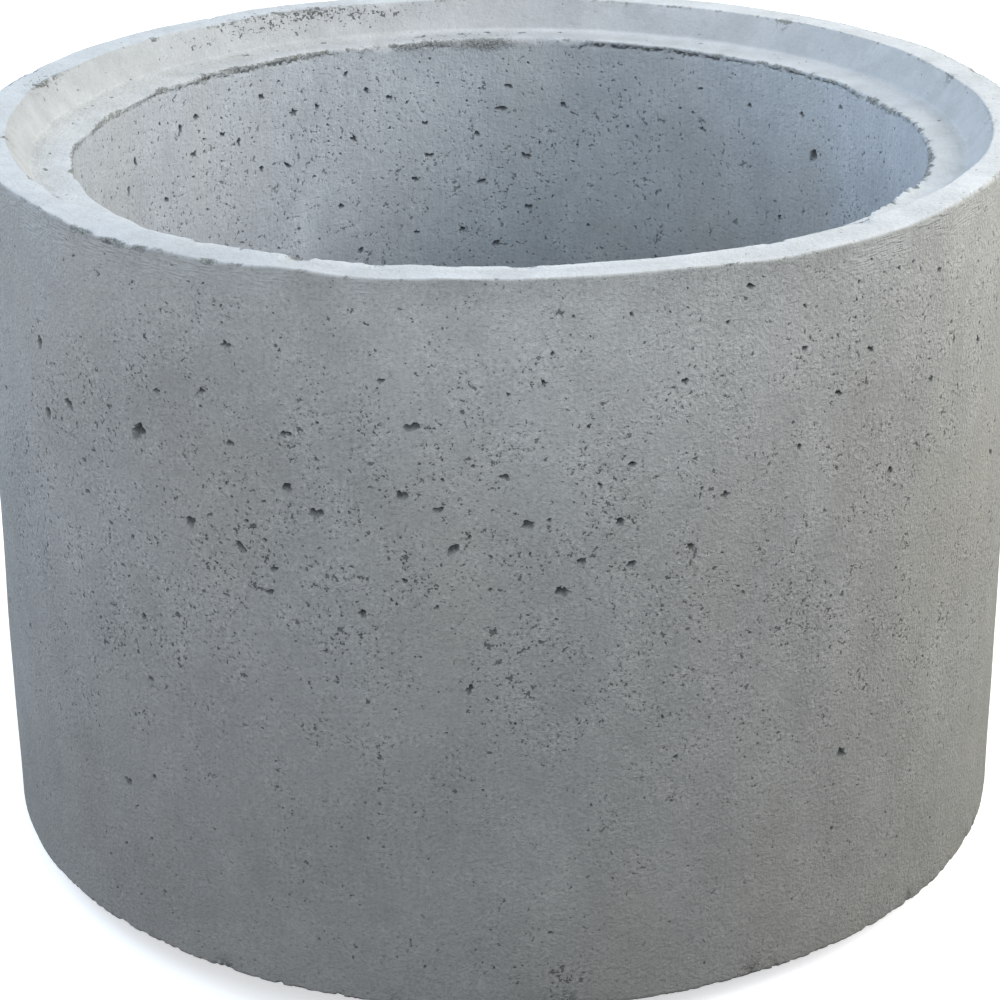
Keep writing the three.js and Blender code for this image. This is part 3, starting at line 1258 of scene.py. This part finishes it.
@dataclass
class Skin:
    """What the concrete's skin is read from: place, how it was made, and the noise patterns on it."""

    level: Socket
    radius: Socket
    in_bore: Socket  # 1 on the bore and 0 elsewhere
    patch: Socket
    grit: Socket
    marks: Socket
    lines: Socket
    tones: dict[str, Socket]  # what the mesh's points hold, by name
    smear: Socket | None = None  # 1 in the band under the rim
    strokes: Socket | None = None
    open: Socket | None = None  # 0 where the skin is closed, 1 where it is full of pores


@dataclass(frozen=True)
class Grain:
    """A noise pattern: the size of its cells in millimetres, and the finer layers that lie on it."""

    size: float
    detail: float
    roughness: float


@dataclass(frozen=True)
class CastConcrete:
    """Precast concrete: a stiff mix rammed in a steel mould and stripped at once.

    The cement paste gives a matt grey skin, closed and smooth in some places and open in others, where it
    shows sand and small ragged pores. Air caught against the steel leaves larger pits, and drawing the
    mould leaves fine upright lines. The ring on the mould's top leaves the seat smooth and pale with
    cement, and smears the wall just under the rim. Broken edges show the sand inside, and their dark
    crumbs are partly painted shade. The outer wall is drawn darker towards the foot. Pores, pits and the
    hollow under the bore's lip are darkened with painted shade.

    Noise patterns run from 0 to 1 about 0.5. A span on `in_bore` has its low end outside and its high end
    in the bore, and one on the openness has them at a closed and at an open skin.
    """

    outer_radius: float = 430.0
    height: float = 612.0

    # Colours.
    paste_dark: str = "929495"
    paste_light: str = "DDDEDF"
    paste_warm: str = "C4BEB2"
    bore_tint: str = "F3F9FF"
    low_wall_tint: str = "B3B3AE"  # what the outer wall's colour is multiplied by at the foot
    high_wall_tint: str = "D6D7D3"  # and at the top
    seat_light: str = "D6DADD"
    seat_dull: str = "B9BDBF"
    # painted shade: the dark drawn into pores, pits and the hollow under the bore's lip
    painted_hole_shade: str = "2C2F31"
    fleck: str = "E4E5E4"
    # partly painted shade: the dark of the broken sand and stones is drawn deep enough to stand for the shade
    # in rough, worn edges
    broken_dark_and_shade: str = "404543"
    broken_light: str = "A4A9A5"
    roughness: float = 0.9
    sheen: float = 0.3  # specular level, low because the skin is porous

    # Patterns. Sand is 1 to 4 mm, and a trowel's strokes are drawn out along the ring.
    patch: Grain = Grain(26.0, 3.0, 0.6)
    grit: Grain = Grain(2.9, 2.0, 0.8)
    marks: Grain = Grain(5.6, 2.0, 0.75)
    lines: Grain = Grain(2.2, 0.0, 0.5)
    line_stretch: float = 0.14  # upright scale as a share of the level one
    stroke_mm: float = 1.6
    stroke_length_mm: float = 11.0
    bore_edge: Span = Span(start=-66.0, end=-74.0)  # of the radius, from the outer face
    streaky: Span = Span(start=0.38, end=0.54)
    stroke: Span = Span(start=0.38, end=0.62)

    # The band that the mould's top ring smears.
    smear_depth: tuple[float, float] = (8.0, 34.0)  # least and most, where the cloud is at its ends
    cloud_ends: tuple[float, float] = (-1.5, 1.5)
    smear_fade: Span = Span(end=14.0)
    smeared_face: Span = Span(start=-8.0, end=-3.0)  # of the radius, from the outer face

    # How open the skin is.
    open_patch: Span = Span(start=0.31, end=0.59)
    open_swarm: float = 0.045
    open_least: Span = Span(0.1, 0.3)  # in_bore
    open_level: float = 0.62  # where it is most open, as a share of the height
    open_away: Span = Span(1.0, 0.5, 120.0, 260.0)  # with the distance from that level
    open_made: Span = Span(1.0, 0.3)  # with how far the skin was trowelled or smeared

    # The paste's tone and the flecks, and the seat's.
    tone_patch: float = 0.4
    tone_cloud: float = 0.04
    tone_grit: Span = Span(0.5, 1.5)  # openness
    tone_grit_in_bore: float = 0.42
    tone_line: Span = Span(0.15, 0.2)  # in_bore
    warm: Span = Span(0.0, 0.22, 0.0, 2.4)
    fleck_from: Span = Span(0.80, 0.63)  # openness
    fleck_strength: Span = Span(0.0, 0.6, 0.0, 0.06)
    smear_pale: float = 0.5
    seat_patch: tuple[float, float] = (1.3, -0.37)  # slope and start
    seat_grit: float = 0.8
    seat_stroke: float = 0.1

    # Pores, pits and breaks. Pores, pits and the hollow under the bore's lip are darkened with painted shade.
    wide_pores: Span = Span(0.25, 0.362)  # openness; a pore is where the marks lie below it
    fine_pores: Span = Span(0.24, 0.342)  # and the grit
    wide_pore_depth: float = 1.3
    fine_pore_depth: float = 0.8
    pore_edge: Span = Span(start=-0.015, end=0.03)
    pore_dark: Span = Span(0.66, 0.5)  # in_bore
    pit_dark: Span = Span(0.0, 0.8, 0.06, 0.6)
    fracture: Span = Span(start=0.36, end=0.64)
    fracture_share: float = 0.9
    broken: Span = Span(0.0, 0.8, 0.85, 1.7)

    # Relief in millimetres.
    sand_relief: Span = Span(1.35, 2.0)  # openness
    sand_calm: Span = Span(1.0, 0.35)  # trowelled
    sand_in_bore: float = 0.45
    broken_relief: float = 1.6
    marks_relief: float = 1.3
    line_relief: Span = Span(0.08, 0.13)  # in_bore
    stroke_relief: Span = Span(0.45, 0.06)  # trowelled

    def build(self) -> bpy.types.Material:
        """Builds the concrete on Object coordinates, which one node turns to millimetres."""
        material = bpy.data.materials.new("cast_concrete")
        sheet = NodeSheet.of(material)
        skin = self._read(sheet)
        skin.smear = self._smear(sheet, skin)
        skin.strokes = self._strokes(sheet, skin)
        skin.open = self._openness(sheet, skin)
        pores, sunk = self._pores(sheet, skin)
        broken, fracture = self._breakage(sheet, skin)
        # Rubble colour, whose dark end is partly painted shade of the rough break.
        rubble_and_shade = {FACTOR: fracture, A: srgb(self.broken_dark_and_shade), B: srgb(self.broken_light)}
        rubble_and_shade = sheet.add("Mix", rubble_and_shade, **OF_COLOURS)
        # Painted shade: pores, pits and the hollow under the bore's lip are drawn darker.
        dark = sheet.add("MapRange", self.pore_dark.of(skin.in_bore))
        pores = sheet.add("Math", {0: pores, 1: dark}, operation="MULTIPLY")
        pits = sheet.add("MapRange", self.pit_dark.of(skin.tones["pit"]))
        colour = self._colour(sheet, skin)
        for share, over in ((pores, srgb(self.painted_hole_shade)), (broken, rubble_and_shade), (pits, srgb(self.painted_hole_shade))):
            colour = sheet.add("Mix", {FACTOR: share, A: colour, B: over}, **OF_COLOURS)
        # The brightness tone holds painted light and shade as well as lime and dirt.
        colour = sheet.add("VectorMath", {0: colour, "Scale": skin.tones["pale"]}, operation="SCALE")
        relief = self._relief(sheet, skin, sunk, broken)
        normal = sheet.add("Bump", {"Height": relief, "Distance": MM, "Strength": 1.0})
        shader = sheet.add("BsdfPrincipled", {"Base Color": colour, "Roughness": self.roughness,
                                              "Specular IOR Level": self.sheen, "Normal": normal})
        sheet.add("OutputMaterial", {"Surface": shader})
        return material

    def _read(self, sheet: NodeSheet) -> Skin:
        """Reads place and tones, and lays the noise patterns, each at its real size."""
        at = sheet.add("VectorMath", {0: sheet.add("TexCoord", out="Object"), "Scale": 1.0 / MM},
                       operation="SCALE")
        flat = sheet.add("VectorMath", {0: at, 1: (1.0, 1.0, 0.0)}, operation="MULTIPLY")
        radius = sheet.add("VectorMath", {0: flat}, out="Value", operation="LENGTH")
        upright = sheet.add("VectorMath", {0: at, 1: (1.0, 1.0, self.line_stretch)}, operation="MULTIPLY")
        patch, grit, marks, lines = (
            sheet.add("TexNoise", {"Vector": vector, "Scale": 1.0 / grain.size, "Detail": grain.detail,
                                   "Roughness": grain.roughness})
            for vector, grain in ((at, self.patch), (at, self.grit), (at, self.marks), (upright, self.lines)))
        return Skin(
            level=sheet.add("SeparateXYZ", {0: at}, out="Z"), radius=radius,
            in_bore=sheet.add("MapRange", self.bore_edge.moved(self.outer_radius).of(radius)),
            patch=patch, grit=grit, marks=marks, lines=lines,
            tones={name: sheet.add("Attribute", attribute_name=name, out="Fac") for name in TONES})

    def _smear(self, sheet: NodeSheet, skin: Skin) -> Socket:
        """Is 1 in the band of the outer wall that the mould's top ring smears."""
        least, most = self.smear_depth
        lower = Span(self.height - least, self.height - most, *self.cloud_ends)
        lower = sheet.add("MapRange", lower.of(skin.tones["cloud"]))
        above = sheet.add("Math", {0: skin.level, 1: lower}, operation="SUBTRACT")
        above = sheet.add("MapRange", self.smear_fade.of(above))
        outside = sheet.add("MapRange", self.smeared_face.moved(self.outer_radius).of(skin.radius))
        return sheet.add("Math", {0: above, 1: outside}, operation="MULTIPLY")

    def _strokes(self, sheet: NodeSheet, skin: Skin) -> Socket:
        """Strokes along the ring, on the trowelled and the smeared skin where it is streaky.

        They are a noise on radius + level, which runs fine, and on x and y, which run coarse.
        """
        place = skin.level.node.outputs
        fine, long = 1.0 / self.stroke_mm, 1.0 / self.stroke_length_mm
        across = sheet.add("Math", {0: skin.radius, 1: skin.level}, operation="ADD")
        at = sheet.add("CombineXYZ", {
            k: sheet.add("Math", {0: part, 1: scale}, operation="MULTIPLY")
            for k, (part, scale) in enumerate(((across, fine), (place["X"], long), (place["Y"], long)))})
        noise = sheet.add("TexNoise", {"Vector": at, "Scale": 1.0, "Detail": 0.0})
        strokes = sheet.add("MapRange", self.stroke.of(noise))
        streaky = sheet.add("MapRange", self.streaky.of(skin.patch))
        made = sheet.add("Math", {0: skin.smear, 1: skin.tones["trowelled"]}, operation="MAXIMUM")
        for factor in (streaky, made):
            strokes = sheet.add("Math", {0: strokes, 1: factor}, operation="MULTIPLY")
        return strokes

    def _openness(self, sheet: NodeSheet, skin: Skin) -> Socket:
        """How open the skin is: closed in patches and where it was trowelled, and less open low and high."""
        least = sheet.add("MapRange", self.open_least.of(skin.in_bore))
        amount = sheet.add("Math", {0: skin.tones["swarm"], 1: self.open_swarm, 2: skin.patch},
                           operation="MULTIPLY_ADD")
        amount = sheet.add("MapRange", {**self.open_patch.of(amount), "To Min": least})
        away = sheet.add("Math", {0: skin.level, 1: self.open_level * self.height}, operation="SUBTRACT")
        away = sheet.add("Math", {0: away}, operation="ABSOLUTE")
        made = sheet.add("Math", {0: skin.tones["trowelled"], 1: skin.smear}, operation="MAXIMUM")
        for span, value in ((self.open_away, away), (self.open_made, made)):
            factor = sheet.add("MapRange", span.of(value))
            amount = sheet.add("Math", {0: amount, 1: factor}, operation="MULTIPLY")
        return sheet.add("Math", {0: amount, 1: skin.tones["open"]}, operation="MAXIMUM")

    def _colour(self, sheet: NodeSheet, skin: Skin) -> Socket:
        """Colour of the unbroken skin: mottled paste on the walls, pale cement on the seat."""
        grain = sheet.add("Math", {0: skin.grit, 1: 0.5}, operation="SUBTRACT")
        paste = self._paste(sheet, skin, grain)
        # The outer wall is drawn darker towards the foot.
        high_wall_tint = sheet.add("MapRange", Span(end=self.height).of(skin.level), interpolation_type="SMOOTHSTEP")
        tint = sheet.add("Mix", {FACTOR: high_wall_tint, A: srgb(self.low_wall_tint), B: srgb(self.high_wall_tint)}, **OF_COLOURS)
        tint = sheet.add("Mix", {FACTOR: skin.in_bore, A: tint, B: srgb(self.bore_tint)}, **OF_COLOURS)
        paste = sheet.add("Mix", {FACTOR: 1.0, A: paste, B: tint}, **OF_COLOURS, blend_type="MULTIPLY")
        slope, start = self.seat_patch
        dull = sheet.add("Math", {0: skin.patch, 1: slope, 2: start}, operation="MULTIPLY_ADD")
        dull = sheet.add("Math", {0: grain, 1: self.seat_grit, 2: dull}, operation="MULTIPLY_ADD")
        dull = sheet.add("Math", {0: skin.strokes, 1: self.seat_stroke, 2: dull}, operation="MULTIPLY_ADD",
                         use_clamp=True)
        seat = {FACTOR: dull, A: srgb(self.seat_light), B: srgb(self.seat_dull)}
        seat = sheet.add("Mix", seat, **OF_COLOURS)
        return sheet.add("Mix", {FACTOR: skin.tones["trowelled"], A: paste, B: seat}, **OF_COLOURS)

    def _paste(self, sheet: NodeSheet, skin: Skin, grain: Socket) -> Socket:
        """Colour of the paste before it is tinted.

        Its tone is 0.5 + the sum of each pattern, less its middle, times how strongly it shows: the patches,
        the cloud, the grit, which shows more where the skin is open, and the mould's lines. Warm areas,
        pale flecks of sand where the grit is high, and the smeared strokes lie over it.
        """
        tone = sheet.add("Math", {0: skin.patch, 1: self.tone_patch, 2: 0.5 - 0.5 * self.tone_patch},
                         operation="MULTIPLY_ADD")
        line = sheet.add("Math", {0: skin.lines, 1: 0.5}, operation="SUBTRACT")
        gritty = sheet.add("MapRange", self.tone_grit.of(skin.open))
        gritty = {**Span(high=self.tone_grit_in_bore).of(skin.in_bore), "To Min": gritty}
        gritty = sheet.add("MapRange", gritty)
        lined = sheet.add("MapRange", self.tone_line.of(skin.in_bore))
        for pattern, strength in ((skin.tones["cloud"], self.tone_cloud), (grain, gritty), (line, lined)):
            tone = sheet.add("Math", {0: pattern, 1: strength, 2: tone}, operation="MULTIPLY_ADD")
        warmth = sheet.add("MapRange", self.warm.of(skin.tones["warmth"]))
        lowest = sheet.add("MapRange", self.fleck_from.of(skin.open))
        flecks = sheet.add("Math", {0: skin.grit, 1: lowest}, operation="SUBTRACT")
        flecks = sheet.add("MapRange", self.fleck_strength.of(flecks))
        smeared = sheet.add("Math", {0: skin.strokes, 1: self.smear_pale}, operation="MULTIPLY")
        smeared = sheet.add("Math", {0: smeared, 1: skin.smear}, operation="MULTIPLY")
        paste = srgb(self.paste_dark)
        for share, colour in ((tone, self.paste_light), (warmth, self.paste_warm), (flecks, self.fleck),
                              (smeared, self.seat_light)):
            paste = sheet.add("Mix", {FACTOR: share, A: paste, B: srgb(colour)}, **OF_COLOURS)
        return paste

    def _pores(self, sheet: NodeSheet, skin: Skin) -> tuple[Socket, Socket]:
        """Small ragged pores: where a pattern falls below a limit that rises with the openness.

        Returns:
            A mask that is 1 in a pore, and how deep the surface lies there in millimetres.
        """
        mask, sunk = 0.0, 0.0
        for pattern, span, depth in ((skin.marks, self.wide_pores, self.wide_pore_depth),
                                     (skin.grit, self.fine_pores, self.fine_pore_depth)):
            limit = sheet.add("MapRange", span.of(skin.open), clamp=False)
            below = sheet.add("Math", {0: limit, 1: pattern}, operation="SUBTRACT")
            pore = sheet.add("MapRange", self.pore_edge.of(below))
            mask = sheet.add("Math", {0: pore, 1: mask}, operation="MAXIMUM")
            sunk = sheet.add("Math", {0: pore, 1: depth, 2: sunk}, operation="MULTIPLY_ADD")
        return mask, sunk

    def _breakage(self, sheet: NodeSheet, skin: Skin) -> tuple[Socket, Socket]:
        """Where the skin is broken off, and how light the sand and small stones are that show there; their
        dark is partly painted shade.
        """
        fracture = sheet.add("MapRange", self.fracture.of(skin.grit))
        edge = sheet.add("Math", {0: fracture, 1: self.fracture_share, 2: skin.tones["worn"]},
                         operation="MULTIPLY_ADD")
        broken = sheet.add("MapRange", self.broken.of(edge), interpolation_type="SMOOTHSTEP")
        return broken, fracture

    def _relief(self, sheet: NodeSheet, skin: Skin, sunk: Socket, broken: Socket) -> Socket:
        """Height of the skin in millimetres: the sand under the paste, marks of making, and the pores."""
        sand = sheet.add("MapRange", self.sand_relief.of(skin.open))
        calm = sheet.add("MapRange", self.sand_calm.of(skin.tones["trowelled"]))
        calm = sheet.add("MapRange", {**Span(high=self.sand_in_bore).of(skin.in_bore), "To Min": calm})
        sand = sheet.add("Math", {0: sand, 1: calm}, operation="MULTIPLY")
        sand = sheet.add("Math", {0: broken, 1: self.broken_relief, 2: sand}, operation="MULTIPLY_ADD")
        relief = sheet.add("Math", {0: skin.grit, 1: sand}, operation="MULTIPLY")
        lined = sheet.add("MapRange", self.line_relief.of(skin.in_bore))
        stroked = sheet.add("MapRange", self.stroke_relief.of(skin.tones["trowelled"]))
        for pattern, height in ((skin.marks, self.marks_relief), (skin.lines, lined),
                                (skin.strokes, stroked)):
            relief = sheet.add("Math", {0: pattern, 1: height, 2: relief}, operation="MULTIPLY_ADD")
        return sheet.add("Math", {0: relief, 1: sunk}, operation="SUBTRACT")


@dataclass(frozen=True)
class PaleFloor:
    """A plain painted floor: matt white to the eye, and a mid grey in the light that it throws back."""

    seen: str = "F2F2F2"
    bounce: str = "6E6E6C"
    lift: float = 0.56  # brightens the floor for the eye alone
    half_size: float = 14.0  # metres

    def build(self, level: float) -> bpy.types.Object:
        """Builds the floor at a level in metres."""
        h = self.half_size
        mesh = bpy.data.meshes.new("floor")
        mesh.from_pydata([(-h, -h, level), (h, -h, level), (h, h, level), (-h, h, level)], [], [(0, 1, 2, 3)])
        floor = bpy.data.objects.new("floor", mesh)
        bpy.context.scene.collection.objects.link(floor)
        material = bpy.data.materials.new("floor_paint")
        sheet = NodeSheet.of(material)
        seen = seen_directly(sheet)
        paint = sheet.add("Mix", {FACTOR: seen, A: srgb(self.bounce), B: srgb(self.seen)}, **OF_COLOURS)
        matt = sheet.add("BsdfDiffuse", {"Color": paint})
        lift = sheet.add("Math", {0: seen, 1: self.lift}, operation="MULTIPLY")
        lift = sheet.add("Emission", {"Color": srgb(self.seen), "Strength": lift})
        sheet.add("OutputMaterial", {"Surface": sheet.add("AddShader", {0: matt, 1: lift})})
        mesh.materials.append(material)
        return floor


def seen_directly(sheet: NodeSheet) -> Socket:
    """Is 1 where the camera looks, straight or in a reflection or through glass, and 0 for other light."""
    path = sheet.add("LightPath", out="Is Camera Ray")
    seen = sheet.add("Math", {0: path, 1: path.node.outputs["Is Glossy Ray"]}, operation="MAXIMUM")
    return sheet.add("Math", {0: seen, 1: path.node.outputs["Is Transmission Ray"]}, operation="MAXIMUM")


# ---- Light and camera ----


@dataclass(frozen=True)
class Lamp:
    """A soft square lamp aimed at the ring. Its place and size are in metres, and its power in watts."""

    name: str
    place: tuple[float, float, float]
    size: float
    power: float
    colour: str

    def build(self, target: Vector) -> bpy.types.Object:
        """Hangs the lamp and turns it to the target."""
        light = bpy.data.lights.new(self.name, "AREA")
        light.size, light.energy = self.size, self.power
        light.color = srgb(self.colour)[:3]
        lamp = bpy.data.objects.new(self.name, light)
        lamp.location = self.place
        lamp.rotation_euler = (target - Vector(self.place)).to_track_quat("-Z", "Y").to_euler()
        bpy.context.scene.collection.objects.link(lamp)
        return lamp


@dataclass(frozen=True)
class OpenSkyStudio:
    """Soft light like an open yard's: from all round above, cooler on the left and warmer on the right."""

    sky: str = "FFFFFF"
    seen: str = "FFFFFF"  # what the camera sees behind everything
    strength: float = 0.44
    lamps: tuple[Lamp, ...] = (
        Lamp("right", (3.2, -0.5, 2.2), 2.0, 103.0, "FFF7F3"),
        Lamp("right_back", (2.8, 1.6, 1.9), 2.0, 33.0, "FAFFE7"),
        Lamp("left_back", (-2.8, 1.6, 1.9), 2.0, 91.0, "C8E2FF"),
        Lamp("front", (0.3, -3.4, 2.6), 2.4, 47.0, "DDF2FF"),
        Lamp("front_low", (-2.4, -3.0, 0.55), 1.2, 48.0, "EAEDFF"),
    )

    def build(self, target: Vector) -> None:
        """Makes the lamps, and a world that is white where the camera sees it."""
        for lamp in self.lamps:
            lamp.build(target)
        world = bpy.data.worlds.new("open_sky")
        bpy.context.scene.world = world
        sheet = NodeSheet.of(world)
        air = sheet.add("Background", {"Color": srgb(self.sky), "Strength": self.strength})
        white = sheet.add("Background", {"Color": srgb(self.seen), "Strength": 1.0})
        both = sheet.add("MixShader", {0: seen_directly(sheet), 1: air, 2: white})
        sheet.add("OutputWorld", {"Surface": both})


@dataclass(frozen=True)
class Viewpoint:
    """A camera held at chest height in front of the ring, tilted down."""

    place: tuple[float, float, float] = (-0.0015, -2.2599, 1.2315)  # metres
    tilt: float = math.radians(23.20)  # below the horizon
    roll: float = math.radians(-0.44)
    lens: float = 101.68  # focal length in millimetres, for the width of the sensor
    sensor: float = 36.0

    def build(self) -> bpy.types.Object:
        """Builds the camera and makes it the scene's own."""
        data = bpy.data.cameras.new("viewpoint")
        data.lens, data.sensor_width, data.sensor_fit = self.lens, self.sensor, "HORIZONTAL"
        camera = bpy.data.objects.new("viewpoint", data)
        turn = Matrix.Rotation(math.pi / 2.0 - self.tilt, 4, "X") @ Matrix.Rotation(self.roll, 4, "Z")
        camera.matrix_world = Matrix.Translation(self.place) @ turn
        bpy.context.scene.collection.objects.link(camera)
        bpy.context.scene.camera = camera
        return camera


def main() -> None:
    """Builds the view, the light, the floor and the ring, and hooks the ring onto the frame."""
    logging.basicConfig(level=logging.INFO, format="%(name)s: %(message)s")
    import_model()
    low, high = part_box(SOLID_NODE)
    view = bpy.context.scene.view_settings
    view.view_transform = "Standard"
    Viewpoint().build()
    OpenSkyStudio().build((low + high) / 2.0)
    PaleFloor().build(low.z)

    outer_radius = (high.x - low.x) / 2.0 / MM
    height = (high.z - low.z) / MM
    section = RingSection(outer_radius=outer_radius, height=height)
    ring = CastRing(section, CastConcrete(outer_radius=outer_radius, height=height)).build()
    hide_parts(SOLID_NODE)
    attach(ring, "root")


if __name__ == "__main__":
    main()
